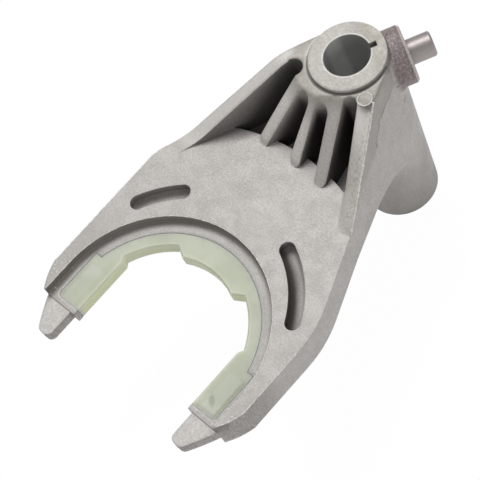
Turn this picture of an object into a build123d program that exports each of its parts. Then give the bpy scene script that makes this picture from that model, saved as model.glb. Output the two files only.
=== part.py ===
# Transfer case range fork: a die-cast aluminium shift fork with a nylon jaw liner
# moulded onto it and a steel follower pin pressed into its hub.
# Millimetres. The shift rail's bore is the Z axis, the ringed end of the hub points
# along +Z, the jaw opens along -Y, and Z = 0 is the middle of the fork plate.
import math
import os

from build123d import *

# Fork plate
plate_thickness = 12.8
jaw_distance = 106.7
plate_half_width = 46.1
arm_length = 12.4
arm_end_half_width = 41.5
arm_curve_start = 2.7
arm_curve_radius = 27.0
left_shoulder_radius = 16.0
right_shoulder_radius = 45.0
right_shoulder_height = 32.5
web_left_point = (-40.5, -47.0)
web_right_point = (33.3, -44.3)
top_edge_radius = 77.1

# Jaw: a stepped recess on both faces, and the flange that carries the liner
recess_radius = 41.15
recess_depth = 3.7
recess_foot = 0.8
seat_radius = 36.6
seat_arm_half_width = 38.2
seat_arm_start = 8.7
seat_end_strip = 2.0
seat_corner_radius = 1.6
jaw_half_opening = 28.0

# Tongue of the casting inside the liner, notched so that the nylon keys onto it
tongue_thickness = 2.6
tongue_width = 2.6
tongue_end_gap = 2.0
notch_radius = 1.3
notch_angles = (15, 45, 75, 105, 135, 165)

# Arm tips
tip_length = 11.3
tip_inner_half_width = 30.0
tip_point_width = 5.0
tip_thickness = 4.4
tip_radius = 2.3
tip_outer_radius = 90.0
tip_root_overlap = 1.0

# Liner
pad_radius = 27.7
thin_radius = 31.8
centre_pad_half_angle = 24.6
centre_ramp_half_angle = 30.0
pad_half_opening = 27.7
arm_pad_start = 11.6
arm_ramp_length = 1.8
liner_edge = 0.7

# Curved grooves in the front face
groove_centre_rise = 9.0
groove_radius = 43.0
groove_width = 5.6
groove_depth = 4.5
groove_bottom_edge = 1.4
groove_spans = ((28.7, 64.6), (128.4, 150.0))

# Hub
bore_diameter = 16.0
hub_front = 30.4
hub_back = -57.4
ring_diameter = 26.7
ring_step = 1.9
ring_edge = 0.4
hub_parting_radius = 15.2
hub_parting_height = 17.4
hub_end_radius = 13.5
hub_end_edge = 1.0
web_left_tangent_radius = 14.4
web_right_tangent_radius = 15.1
slot_width = 2.0
slot_reach = 10.4
slot_depth = 14.0

# Follower pin and the boss that holds it
pin_angle = 60.0
pin_height = 18.2
pin_diameter = 8.8
pin_end = 27.7
pin_chamfer = 0.6
pin_shank_diameter = 7.0
pin_shank_root = 12.2
pin_shank_chamfer = 0.4
boss_diameter = 20.4
boss_face = 19.15
boss_edge = 0.8
boss_root_radius = 3.0

# Web between the hub and the plate: heights are above the plate's front face
web_floor_thickness = 7.4
left_wall_foot = (-36.5, -50.5)
left_wall_angle = 61.5
left_wall_end = -56.0
left_wall_slope_start = -48.9
left_wall_slope_end = -11.6
left_wall_bends = (22.0, 14.0)
right_wall_foot = (19.5, -31.5)
right_wall_angle = 109.8
right_wall_width = 9.0
right_wall_slope_length = 22.9
right_wall_outer_rise = 9.8
run_out_end = ((27.4, -44.4), (34.5, -42.9))
web_draft = 2.5
skirt_radius = 25.0
skirt_draft = 3.0
ejector_pad_diameter = 5.4
ejector_pad_place = (15.2, -8.7)
ejector_pad_height = 0.4

# Ribs fan out from a point beside the rail: angle, crest distance, foot distance
rib_origin = (2.2, 0.0)
ribs = ((-118.9, 19.1, 39.4), (-95.7, 17.1, 34.8), (-75.4, 13.3, 36.9))
rib_half_width = 2.4
rib_head_half_width = 4.4
fan_radius = 27.0
fan_margins = (12.0, 4.4)
pocket_corner = 0.6
pocket_bite = 0.3
left_pocket_end = -53.0
right_pocket_end = -35.5

# Rounded upper ends of the pockets, from the rib origin: angle, distance, radius
pocket_ends = (
    (-140.8, 20.3, 3.4),
    (-108.3, 21.1, 2.8),
    (-86.4, 19.3, 2.4),
    (-53.5, 15.6, 2.4),
)

# Heights and places that follow from the values above
plate_top = plate_thickness / 2
plate_back = -plate_thickness / 2
ledge_top = plate_top - recess_depth
shoulder_height = hub_front - ring_step
web_floor = plate_back + web_floor_thickness
web_rise = shoulder_height - plate_top
jaw_centre = (0.0, -jaw_distance)
groove_centre = (0.0, -jaw_distance + groove_centre_rise)
arm_end = -jaw_distance - arm_length
liner_end = arm_end + seat_end_strip
curve_start = -jaw_distance - arm_curve_start
boss_radius = boss_diameter / 2
pin_radius = pin_diameter / 2
pin_shank_radius = pin_shank_diameter / 2
far = 4 * plate_half_width


def from_point(point, angle, distance):
    """The point at an angle in degrees and a distance from another point."""
    turn = math.radians(angle)
    return (point[0] + distance * math.cos(turn), point[1] + distance * math.sin(turn))


def tangent_point(point, radius, side):
    """Where a line from a point touches a circle about the rail's axis."""
    distance = math.hypot(*point)
    angle = math.atan2(point[1], point[0]) + side * math.acos(radius / distance)
    return (radius * math.cos(angle), radius * math.sin(angle))


def meets_x(start, end, x):
    """The point with the given x on the straight line through two points."""
    return (x, start[1] + (end[1] - start[1]) * (x - start[0]) / (end[0] - start[0]))


left_tangent = tangent_point(web_left_point, web_left_tangent_radius, -1)
right_tangent = tangent_point(web_right_point, web_right_tangent_radius, 1)
left_shoulder = meets_x(left_tangent, web_left_point, -plate_half_width)
right_shoulder = (plate_half_width, -jaw_distance + right_shoulder_height)

# Outline of the whole fork seen along the rail, before the jaw is opened
with BuildSketch() as outline:
    with BuildLine():
        RadiusArc((arm_end_half_width, arm_end), (plate_half_width, curve_start), -arm_curve_radius)
        Polyline((plate_half_width, curve_start), right_shoulder, web_right_point, right_tangent)
        ThreePointArc(right_tangent, (0, web_left_tangent_radius), left_tangent)
        Polyline(left_tangent, left_shoulder, (-plate_half_width, curve_start))
        RadiusArc((-plate_half_width, curve_start), (-arm_end_half_width, arm_end), -arm_curve_radius)
        Line((-arm_end_half_width, arm_end), (arm_end_half_width, arm_end))
    make_face()
    fillet(outline.vertices().sort_by_distance(left_shoulder)[0], left_shoulder_radius)
    fillet(outline.vertices().sort_by_distance(right_shoulder)[0], right_shoulder_radius)

# The liner's seat: a U cut right through the plate, square at its lower ends
with BuildSketch() as seat:
    with Locations(jaw_centre):
        Circle(seat_radius)
        Rectangle(2 * seat_radius, far, align=(Align.CENTER, Align.MAX))
    with Locations((0, -jaw_distance + seat_arm_start)):
        Rectangle(2 * seat_arm_half_width, far, align=(Align.CENTER, Align.MAX))
    with Locations((0, liner_end)):
        Rectangle(far, 2 * far, align=(Align.CENTER, Align.MAX), mode=Mode.SUBTRACT)
    fillet(seat.vertices().group_by(Axis.Y)[0], seat_corner_radius)

# The liner's inner edge: a pad at the middle, thin webs, and a flat pad on each arm
pad_end = from_point(jaw_centre, 90 - centre_pad_half_angle, pad_radius)
ramp_end = from_point(jaw_centre, 90 - centre_ramp_half_angle, thin_radius)
thin_end_angle = math.degrees(math.asin((arm_pad_start + arm_ramp_length) / thin_radius))
thin_end = from_point(jaw_centre, thin_end_angle, thin_radius)
thin_middle_angle = (90 - centre_ramp_half_angle + thin_end_angle) / 2
thin_middle = from_point(jaw_centre, thin_middle_angle, thin_radius)
with BuildSketch() as jaw_space:
    with BuildLine():
        Line((0, -far), (pad_half_opening, -far))
        Polyline(
            (pad_half_opening, -far),
            (pad_half_opening, -jaw_distance + arm_pad_start),
            thin_end,
        )
        ThreePointArc(thin_end, thin_middle, ramp_end)
        Line(ramp_end, pad_end)
        RadiusArc(pad_end, (0, -jaw_distance + pad_radius), -pad_radius)
        mirror(about=Plane.YZ)
    make_face()

# The tongue: the seat's edge carried inwards, with round notches
tongue_reach = seat_radius - tongue_width
with BuildSketch() as tongue_plan:
    add(seat.sketch)
    with Locations(jaw_centre):
        Circle(tongue_reach, mode=Mode.SUBTRACT)
        Rectangle(2 * tongue_reach, far, align=(Align.CENTER, Align.MAX), mode=Mode.SUBTRACT)
    with Locations((0, liner_end + tongue_end_gap)):
        Rectangle(far, far, align=(Align.CENTER, Align.MAX), mode=Mode.SUBTRACT)
    with Locations([from_point(jaw_centre, angle, tongue_reach) for angle in notch_angles]):
        Circle(notch_radius, mode=Mode.SUBTRACT)

with BuildPart() as tongue:
    with BuildSketch():
        add(tongue_plan.sketch)
    extrude(amount=tongue_thickness / 2, both=True)

# Stepped recess round the jaw, as the tool that cuts it: its foot is sloped
with BuildPart() as recess:
    with BuildSketch(Plane.XY.offset(ledge_top)):
        with Locations(jaw_centre):
            Circle(recess_radius)
            Rectangle(2 * recess_radius, far, align=(Align.CENTER, Align.MAX))
    extrude(amount=plate_thickness)
    foot_edges = recess.faces().sort_by(Axis.Z)[0].edges().sort_by(Axis.Y)[1:]
    chamfer(foot_edges, recess_foot)

# Arm tip, drawn on the right; the left one is its mirror image
tip_end = arm_end - tip_length
with BuildPart() as tip:
    with BuildSketch(Plane.XY):
        with BuildLine():
            Polyline(
                (arm_end_half_width, arm_end),
                (arm_end_half_width, arm_end + tip_root_overlap),
                (tip_inner_half_width, arm_end + tip_root_overlap),
                (tip_inner_half_width, tip_end),
                (tip_inner_half_width + tip_point_width, tip_end),
            )
            RadiusArc(
                (tip_inner_half_width + tip_point_width, tip_end),
                (arm_end_half_width, arm_end),
                -tip_outer_radius,
            )
        make_face()
        fillet(vertices().group_by(Axis.Y)[0], tip_radius)
    extrude(amount=tip_thickness / 2, both=True)

# Solid that the web is cut from: the outline, drafted above the plate
with BuildPart() as web_blank:
    with BuildSketch(Plane.XY.offset(plate_top)):
        add(outline.sketch)
    extrude(amount=web_rise, taper=web_draft)
    with BuildSketch(Plane.XY.offset(plate_back)):
        add(outline.sketch)
    extrude(amount=plate_thickness)

# Left side wall: the blank outside the wall's inner line, cut to a crest that falls
# from the hub's shoulder to the plate
with BuildPart() as left_wall:
    with BuildSketch(Plane.XY.offset(plate_back)):
        with Locations(Location((*left_wall_foot, 0), (0, 0, left_wall_angle))):
            Rectangle(far, far, align=(Align.CENTER, Align.MIN))
    extrude(amount=shoulder_height - plate_back)
    with BuildSketch(Plane.YZ):
        slope = ((left_wall_slope_start, plate_top), (left_wall_slope_end, shoulder_height))
        Polygon(
            (left_wall_end, plate_back),
            (left_wall_end, plate_top),
            *slope,
            (hub_parting_radius, shoulder_height),
            (hub_parting_radius, plate_back),
            align=None,
        )
        for corner, bend in zip(slope, left_wall_bends):
            fillet(vertices().sort_by_distance(corner)[0], bend)
    extrude(amount=far, both=True, mode=Mode.INTERSECT)
    add(web_blank.part, mode=Mode.INTERSECT)


def right_wall_section(inner, outer, inner_rise, outer_rise):
    """Upright plane across the right wall, and its corners there with their rises."""
    width = math.dist(inner, outer)
    across = ((outer[0] - inner[0]) / width, (outer[1] - inner[1]) / width, 0)
    plane = Plane(origin=(*inner, 0), x_dir=across, z_dir=(across[1], -across[0], 0))
    corners = (
        (0, plate_back),
        (width, plate_back),
        (width, plate_top + outer_rise),
        (0, plate_top + inner_rise),
    )
    return plane, corners


# Right side wall: its inner edge falls faster than its outer one, so the crest is a
# ruled surface through sections beside the rail, at the top and foot of the slope, and
# where the outer edge runs out on the plate
right_wall_turn = math.radians(right_wall_angle)
rail_distance = -(
    right_wall_foot[0] * math.cos(right_wall_turn)
    + right_wall_foot[1] * math.sin(right_wall_turn)
)
right_wall_sections = []
for distance, inner_rise, outer_rise in (
    (rail_distance, web_rise, web_rise),
    (right_wall_slope_length, web_rise, web_rise),
    (0, 0, right_wall_outer_rise),
):
    inner = from_point(right_wall_foot, right_wall_angle, distance)
    outer = from_point(inner, right_wall_angle - 90, right_wall_width)
    right_wall_sections.append(right_wall_section(inner, outer, inner_rise, outer_rise))
right_wall_sections.append(right_wall_section(*run_out_end, 0, 0))

with BuildPart() as right_wall:
    for plane, corners in right_wall_sections:
        with BuildSketch(plane):
            Polygon(*corners, align=None)
    loft(ruled=True)
    add(web_blank.part, mode=Mode.INTERSECT)


def hub_radius(height):
    """The hub's drafted outer radius at a height below its parting line."""
    share = (height - hub_back) / (hub_parting_height - hub_back)
    return hub_end_radius + share * (hub_parting_radius - hub_end_radius)


# Hollow-curved skirt that carries the plate's back face down onto the hub
skirt_toe = plate_back - skirt_radius
skirt_rim_radius = hub_radius(skirt_toe) + skirt_radius
with BuildPart() as skirt:
    with BuildSketch(Plane.XZ):
        with Locations((0, skirt_toe)):
            Rectangle(skirt_rim_radius, skirt_radius, align=(Align.MIN, Align.MIN))
        with Locations((skirt_rim_radius, skirt_toe)):
            Circle(skirt_radius, mode=Mode.SUBTRACT)
    revolve(axis=Axis.Z)
    with BuildSketch(Plane.XY.offset(plate_back)):
        add(outline.sketch)
    extrude(amount=-skirt_radius, taper=skirt_draft, mode=Mode.INTERSECT)

right_wall_top = from_point(right_wall_foot, right_wall_angle, right_wall_slope_length)


def fan_corners(distances):
    """Corners of the fan, with one on each rib at its distance from the rib origin."""
    points = [
        from_point(rib_origin, angle, distance)
        for (angle, crest, foot), distance in zip(ribs, distances)
    ]
    first = from_point(points[0], ribs[0][0] - 90, fan_margins[0])
    last = from_point(points[-1], ribs[-1][0] + 90, fan_margins[1])
    return (first, *points, last, right_wall_top, (hub_end_radius, 0), (-hub_end_radius, 0))


# Fan that the ribs are left from: its slope is ruled between a line through the ribs'
# crest points at the hub's shoulder and one through their feet on the plate
crests = [crest for angle, crest, foot in ribs]
feet = [foot for angle, crest, foot in ribs]
with BuildPart() as fan:
    for height, distances in ((shoulder_height, crests), (plate_top, feet), (plate_back, feet)):
        with BuildSketch(Plane.XY.offset(height)):
            Polygon(*fan_corners(distances), align=None)
    loft(ruled=True)
    with BuildSketch(Plane.XY.offset(plate_back)):
        with Locations(rib_origin):
            Circle(fan_radius)
        for angle, crest, foot in ribs:
            with BuildSketch(mode=Mode.PRIVATE) as rib_plan:
                with Locations(from_point(rib_origin, angle, crest)):
                    Circle(rib_head_half_width)
                with Locations(from_point(rib_origin, angle, foot - rib_half_width)):
                    Circle(rib_half_width)
                make_hull()
            add(rib_plan.sketch)
    extrude(amount=shoulder_height - plate_back, mode=Mode.INTERSECT)
    add(web_blank.part, mode=Mode.INTERSECT)


def beside_wall(foot, angle, inward, y):
    """A pocket's lower corner at a given y, biting a little into a wall's inner line."""
    on_line = (foot[0] + (y - foot[1]) / math.tan(math.radians(angle)), y)
    return from_point(on_line, angle + inward, pocket_corner - pocket_bite)


# The two lower corners of each pocket at the plate's face, beside the walls and ribs
corners = [beside_wall(left_wall_foot, left_wall_angle, -90, left_pocket_end)]
for angle, crest, foot in ribs:
    for side in (-90, 90):
        middle = from_point(rib_origin, angle, foot)
        corners.append(from_point(middle, angle + side, rib_half_width + pocket_corner))
corners.append(beside_wall(right_wall_foot, right_wall_angle, 90, right_pocket_end))

# Pockets between the walls and ribs: each is the hull of its rounded upper end and
# its two lower corners, and below the plate's face it stops at an edge concentric with
# the jaw
pocket_tools = []
for index, (angle, distance, end_radius) in enumerate(pocket_ends):
    with BuildPart() as pocket:
        with BuildSketch(Plane.XY.offset(web_floor)):
            with Locations(from_point(rib_origin, angle, distance)):
                Circle(end_radius)
            with Locations(*corners[2 * index:2 * index + 2]):
                Circle(pocket_corner)
            make_hull()
        extrude(amount=shoulder_height - web_floor)
        with BuildSketch(Plane.XY.offset(plate_top)):
            with Locations(jaw_centre):
                Circle(top_edge_radius)
        extrude(amount=web_floor - plate_top, mode=Mode.SUBTRACT)
    pocket_tools.append(pocket.part)

# Hub: drafted tube with the machined ring on its front end
with BuildPart() as hub:
    with BuildSketch(Plane.XZ):
        with BuildLine():
            Polyline(
                (0, hub_back),
                (hub_end_radius, hub_back),
                (hub_parting_radius, hub_parting_height),
                (ring_diameter / 2, shoulder_height),
                (ring_diameter / 2, hub_front),
                (0, hub_front),
                close=True,
            )
        make_face()
    revolve(axis=Axis.Z)
    chamfer(hub.faces().sort_by(Axis.Z)[0].edges(), hub_end_edge)
    chamfer(hub.faces().sort_by(Axis.Z)[-1].edges(), ring_edge)

# Plane across the follower pin, at the rail's axis
pin_turn = math.radians(pin_angle)
pin_plane = Plane(
    origin=(0, 0, pin_height),
    x_dir=(0, 0, 1),
    z_dir=(math.cos(pin_turn), math.sin(pin_turn), 0),
)

with BuildPart() as boss:
    with BuildSketch(pin_plane):
        Circle(boss_radius)
    extrude(amount=boss_face)
    boss_rim = boss.faces().sort_by(Axis(pin_plane.origin, pin_plane.z_dir))[-1].edges()
    chamfer(boss_rim, boss_edge)

# Below the parting height the boss joins the hub with a rounded root
with BuildPart() as boss_root:
    add([hub.part, boss.part])
    split(bisect_by=Plane.XY.offset(hub_parting_height), keep=Keep.BOTTOM)
    fillet(boss_root.edges().filter_by(GeomType.BSPLINE), boss_root_radius)

# Curved grooves, as the tools that cut them: their bottom edges are sloped
grooves = []
for start, end in groove_spans:
    with BuildPart() as groove:
        with BuildSketch(Plane.XY.offset(plate_top)):
            with BuildLine(mode=Mode.PRIVATE) as groove_line:
                CenterArc(groove_centre, groove_radius, start, end - start)
            SlotArc(groove_line.edge(), groove_width)
        extrude(amount=-groove_depth)
        chamfer(groove.faces().sort_by(Axis.Z)[0].edges(), groove_bottom_edge)
    grooves.append(groove.part)

# Casting: the plate with its web, hub and tips, then everything that is cut from it
with BuildPart() as casting:
    with BuildSketch(Plane.XY.offset(plate_back)):
        add(outline.sketch)
    extrude(amount=plate_thickness)
    add([left_wall.part, right_wall.part, fan.part, skirt.part])
    add(pocket_tools, mode=Mode.SUBTRACT)
    add([hub.part, boss.part, boss_root.part])
    with Locations((*ejector_pad_place, shoulder_height)):
        Cylinder(
            ejector_pad_diameter / 2,
            ejector_pad_height,
            align=(Align.CENTER, Align.CENTER, Align.MIN),
        )
    # Recess on both faces, then the opening that the liner sits in
    add(recess.part, mode=Mode.SUBTRACT)
    add(mirror(recess.part, about=Plane.XY, mode=Mode.PRIVATE), mode=Mode.SUBTRACT)
    with BuildSketch(Plane.XY.offset(plate_back)):
        add(seat.sketch)
        with Locations(jaw_centre):
            Rectangle(2 * jaw_half_opening, far, align=(Align.CENTER, Align.MAX))
    extrude(amount=plate_thickness, mode=Mode.SUBTRACT)
    add([tongue.part, tip.part, mirror(tip.part, about=Plane.YZ, mode=Mode.PRIVATE)])
    add(grooves, mode=Mode.SUBTRACT)
    # Bore, the slot beside it and the pin's hole
    with BuildSketch(Plane.XY.offset(hub_back)):
        Circle(bore_diameter / 2)
    extrude(amount=hub_front - hub_back, mode=Mode.SUBTRACT)
    with BuildSketch(Plane.XY.offset(hub_front)):
        with Locations(Location((0, 0, 0), (0, 0, pin_angle))):
            Rectangle(slot_reach, slot_width, align=(Align.MIN, Align.CENTER))
    extrude(amount=-slot_depth, mode=Mode.SUBTRACT)
    with BuildSketch(pin_plane.offset(pin_shank_root)):
        Circle(pin_shank_radius)
    extrude(amount=boss_face - pin_shank_root, mode=Mode.SUBTRACT)
casting.part.label = "fork_casting"


def in_jaw(edge):
    """True for an edge on the liner's inner side, clear of its seat and its ends."""
    middle = edge.center()
    reach = math.hypot(middle.X, max(middle.Y + jaw_distance, 0))
    return reach < thin_radius + liner_edge and middle.Y > liner_end + liner_edge


# Liner: the nylon that fills the seat, moulded round the tongue
with BuildPart() as liner:
    with BuildSketch(Plane.XY):
        add(seat.sketch)
        add(jaw_space.sketch, mode=Mode.SUBTRACT)
    extrude(amount=ledge_top, both=True)
    chamfer(liner.edges().filter_by(Plane.XY).filter_by(in_jaw), liner_edge)
    add(tongue.part, mode=Mode.SUBTRACT)
liner.part.label = "jaw_liner"

# Follower pin: a shank pressed into the boss, and a free end whose shoulder sits on it
with BuildPart() as pin:
    with BuildSketch(pin_plane.offset(pin_shank_root)):
        Circle(pin_shank_radius)
    extrude(amount=boss_face - pin_shank_root)
    along_pin = Axis(pin_plane.origin, pin_plane.z_dir)
    chamfer(pin.faces().sort_by(along_pin)[0].edges(), pin_shank_chamfer)
    with BuildSketch(pin_plane.offset(boss_face)):
        Circle(pin_radius)
    extrude(amount=pin_end - boss_face)
    chamfer(pin.faces().sort_by(along_pin)[-1].edges(), pin_chamfer)
pin.part.label = "follower_pin"

os.makedirs("parts", exist_ok=True)
export_step(casting.part, "parts/fork_casting.step")
export_step(liner.part, "parts/jaw_liner.step")
export_step(pin.part, "parts/follower_pin.step")
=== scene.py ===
# %% [markdown]
# # Transfer case range fork
# A shift fork slides along a rail and carries a sleeve in its jaw. The real one is an
# aluminium die casting with nylon moulded into the jaw and a steel pin pressed into a
# boss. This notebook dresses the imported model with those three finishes, adds the thin
# raised beads that moulding and trimming leave, and lights it as for a parts catalogue.

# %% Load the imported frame
import math

import bpy
import numpy as np
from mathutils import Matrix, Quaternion, Vector


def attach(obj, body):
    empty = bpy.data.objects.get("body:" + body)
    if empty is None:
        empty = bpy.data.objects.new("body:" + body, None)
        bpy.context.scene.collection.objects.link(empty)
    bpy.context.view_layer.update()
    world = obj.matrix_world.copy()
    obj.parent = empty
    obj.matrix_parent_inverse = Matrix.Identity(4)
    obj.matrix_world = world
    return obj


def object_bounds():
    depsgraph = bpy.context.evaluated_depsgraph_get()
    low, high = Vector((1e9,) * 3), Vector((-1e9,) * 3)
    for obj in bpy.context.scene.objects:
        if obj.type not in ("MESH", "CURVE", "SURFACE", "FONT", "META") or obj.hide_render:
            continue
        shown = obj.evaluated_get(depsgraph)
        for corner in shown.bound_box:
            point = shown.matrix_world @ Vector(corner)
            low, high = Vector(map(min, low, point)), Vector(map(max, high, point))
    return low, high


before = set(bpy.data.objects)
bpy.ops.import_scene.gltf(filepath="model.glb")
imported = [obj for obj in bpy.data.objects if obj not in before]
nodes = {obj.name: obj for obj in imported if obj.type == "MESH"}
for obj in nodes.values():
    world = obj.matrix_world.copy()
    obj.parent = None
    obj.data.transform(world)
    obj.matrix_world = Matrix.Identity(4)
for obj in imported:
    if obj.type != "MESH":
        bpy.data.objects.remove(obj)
cad_box = [list(corner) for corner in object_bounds()]
print("nodes", sorted(nodes), "box", np.round(cad_box, 4).tolist())

# %% [markdown]
# ## Camera
# The photograph looks down on the fork from its open side with a long lens. A camera can
# be turned by three angles, but those are hard to read. This one is placed by its
# position, the point of the plate that it looks at, and a roll about the line of sight,
# so each of the three can be read and changed by itself.

# %% Camera
scene = bpy.context.scene
camera_place = Vector((0.30295, -0.16635, 0.51462))
camera_target = Vector((0.00270, -0.06562, 0.0064))
camera_roll = math.radians(31.98)
camera_lens = 136.14

camera = bpy.data.objects.new("camera", bpy.data.cameras.new("camera"))
scene.collection.objects.link(camera)
scene.camera = camera
camera.data.sensor_width = 36
camera.data.lens = camera_lens
camera.data.clip_start, camera.data.clip_end = 0.05, 20
camera.location = camera_place
camera.rotation_mode = "QUATERNION"
looking = (camera_target - camera_place).to_track_quat("-Z", "Y")
camera.rotation_quaternion = looking @ Quaternion((0, 0, 1), -camera_roll)
print("camera is", round((camera_target - camera_place).length, 3), "m from the plate")

# %% [markdown]
# ## Node helpers
# A finish is a small graph of nodes. It could be wired by hand in the shader editor, but
# a graph with many places is easier to follow as sums. These helpers add a node, set its
# inputs by name and link what is a socket, so each material reads from top to bottom.


# %% Node helpers
class Finish:
    """A material whose nodes are added one by one; `shader` is its Principled node."""

    def __init__(self, name):
        self.material = bpy.data.materials.new(name)
        self.material.use_nodes = True
        self.tree = self.material.node_tree
        self.tree.nodes.clear()
        self.shader = self.add("ShaderNodeBsdfPrincipled")
        out = self.add("ShaderNodeOutputMaterial")
        self.tree.links.new(self.shader.outputs[0], out.inputs["Surface"])
        self.place = self.add("ShaderNodeTexCoord").outputs["Object"]

    def add(self, kind, inputs=None, **settings):
        """Adds a node; each input is a plain value or another node's socket."""
        node = self.tree.nodes.new(kind)
        for key, value in settings.items():
            setattr(node, key, value)
        for key, value in (inputs or {}).items():
            self.feed(node.inputs[key], value)
        return node

    def feed(self, socket, value):
        """Links a socket to an input, or sets the input to a plain value."""
        if isinstance(value, bpy.types.NodeSocket):
            self.tree.links.new(value, socket)
        else:
            socket.default_value = value

    def set(self, **inputs):
        """Sets inputs of the Principled shader; underscores stand for spaces."""
        for key, value in inputs.items():
            self.feed(self.shader.inputs[key.replace("_", " ")], value)

    def noise(self, size, detail=3.0, roughness=0.55):
        """Noise whose features are about `size` metres across."""
        values = {
            "Vector": self.place,
            "Scale": 1 / size,
            "Detail": detail,
            "Roughness": roughness,
        }
        return self.add("ShaderNodeTexNoise", values).outputs["Fac"]

    def math(self, operation, a, b=0.0):
        """One arithmetic step on two values."""
        return self.add("ShaderNodeMath", {0: a, 1: b}, operation=operation).outputs[0]

    def ramp(self, value, low, high, to_low=0.0, to_high=1.0):
        """Maps low..high onto to_low..to_high with a smooth step, and holds it outside."""
        node = self.add(
            "ShaderNodeMapRange",
            {
                "Value": value,
                "From Min": low,
                "From Max": high,
                "To Min": to_low,
                "To Max": to_high,
            },
            interpolation_type="SMOOTHSTEP",
        )
        return node.outputs["Result"]

    def blend(self, amount, first, second):
        """Mixes two colours by an amount from 0 to 1."""
        node = self.add("ShaderNodeMix", data_type="RGBA", clamp_factor=True)
        for place, value in ((0, amount), (6, first), (7, second)):
            self.feed(node.inputs[place], value)
        return node.outputs[2]

    def tell(self, step):
        """Prints how far the graph has grown."""
        print(self.material.name, "after", step, "has", len(self.tree.nodes), "nodes")


# %% [markdown]
# ## Measuring helpers
# A place on a surface, such as a ring or a crest, could be marked on an image or on the
# mesh's vertices. Both are only as sharp as their pixels or vertices. So the places here
# are sums of lengths in millimetres, and these helpers hold the sums that come up often.


# %% Measuring helpers
class Measured(Finish):
    """A finish that also measures lengths and directions on the piece."""

    def millimetres(self):
        """Object coordinates times 1000: the vector, and its x, y and z."""
        thousand = (1000, 1000, 1000)
        scaled = self.add(
            "ShaderNodeVectorMath", {0: self.place, 1: thousand}, operation="MULTIPLY"
        ).outputs[0]
        x, y, z = self.add("ShaderNodeSeparateXYZ", {0: scaled}).outputs
        return scaled, x, y, z

    def facing(self):
        """The x, y and z of the direction that the surface faces, before any rounding."""
        normal = self.add("ShaderNodeNewGeometry").outputs["True Normal"]
        x, y, z = self.add("ShaderNodeSeparateXYZ", {0: normal}).outputs
        return x, y, z

    def both(self, *masks):
        """Masks and plain amounts, multiplied together."""
        result = masks[0]
        for mask in masks[1:]:
            result = self.math("MULTIPLY", result, mask)
        return result

    def far(self, a, b):
        """The length whose two parts are a and b: the root of a times a plus b times b."""
        squares = self.math("ADD", self.math("MULTIPLY", a, a), self.math("MULTIPLY", b, b))
        return self.math("SQRT", squares)

    def off(self, value, middle):
        """How far a value is from the middle, on either side."""
        return self.math("ABSOLUTE", self.math("SUBTRACT", value, middle))

    def along(self, angle, x, y):
        """How far (x, y) lies along a direction in degrees: x times cos plus y times sin."""
        turn = math.radians(angle)
        ahead = self.math("MULTIPLY", x, math.cos(turn))
        return self.math("ADD", ahead, self.math("MULTIPLY", y, math.sin(turn)))

    def edges(self, radius):
        """(rounded normal, mask that is 1 on edges) of the shape, for an edge radius.

        On a flat face the rounded and the true normal agree, so their dot product is 1,
        and it falls where the Bevel node has rounded an edge.
        """
        still_flat, fully_edge = 0.995, 0.90
        rounded = self.add("ShaderNodeBevel", {"Radius": radius}, samples=6).outputs["Normal"]
        true = self.add("ShaderNodeNewGeometry").outputs["True Normal"]
        dot = self.add("ShaderNodeVectorMath", {0: rounded, 1: true}, operation="DOT_PRODUCT")
        return rounded, self.ramp(dot.outputs["Value"], still_flat, fully_edge)

    def relief(self, height, strength, depth, normal):
        """The normal, tilted by a height whose full depth is given in metres."""
        values = {"Height": height, "Strength": strength, "Distance": depth, "Normal": normal}
        return self.add("ShaderNodeBump", values).outputs[0]


def colour(red, green, blue):
    """A colour as a screen shows it, 0 to 255, turned into linear light.

    Each channel is raised to the power 2.4 after an offset of 0.055, and the darkest
    values are divided by 12.92 instead.
    """
    srgb = np.array([red, green, blue]) / 255
    linear = np.where(srgb <= 0.04045, srgb / 12.92, ((srgb + 0.055) / 1.055) ** 2.4)
    return (*linear.tolist(), 1.0)


print("mid grey in linear light:", round(colour(128, 128, 128)[0], 3))

# %% [markdown]
# ## Cast aluminium: the hub, the ring and the boss
# The casting is one solid, but its places look different: the ring is turned clean, the
# bore is bare and dark, and the boss is stained. Separate pieces would need seams that
# the real one lacks. So each place is a mask, 1 inside it and 0 outside, from the
# distance to the rail's axis or the pin's. A ramp's first two numbers are where its mask
# begins and where it is full, in millimetres for a place and in parts of 1 for a
# direction or a noise. Two more, where they are given, are the amounts at those places.

# %% Places on the hub
millimetre = 0.001
cast = Measured("cast_aluminium")
place_mm, x, y, z = cast.millimetres()
face_x, _, face_z = cast.facing()
upward = cast.ramp(face_z, 0.45, 0.75)
level = cast.ramp(face_z, 0.35, 0.7)
steep = cast.ramp(cast.math("ABSOLUTE", face_z), 0.5, 0.25)

from_rail = cast.far(x, y)
in_bore = cast.both(cast.ramp(from_rail, 8.3, 8.1), cast.ramp(face_z, 0.5, 0.3))
on_ring = cast.both(cast.ramp(from_rail, 14.0, 13.6), cast.ramp(z, 28.7, 29.0), upward)

pin_angle, pin_height = 60, 18.2
out_along_pin = cast.along(pin_angle, x, y)
beside_pin = cast.along(pin_angle + 90, x, y)
from_pin = cast.far(beside_pin, cast.math("SUBTRACT", z, pin_height))
on_boss = cast.both(
    cast.ramp(from_pin, 11.6, 10.4),
    cast.ramp(out_along_pin, 11.0, 13.0),
    cast.ramp(from_rail, 13.4, 14.2),
)
cast.tell("the hub's places")

# %% [markdown]
# ## Cast aluminium: the walls and the web
# Two walls run down from the hub with ribs between them. Each wall is a straight line
# from above, so how far a point lies beyond that line tells which wall it is on. The die
# halves parted along the right wall's flank, where the casting changes its tone.

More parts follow.
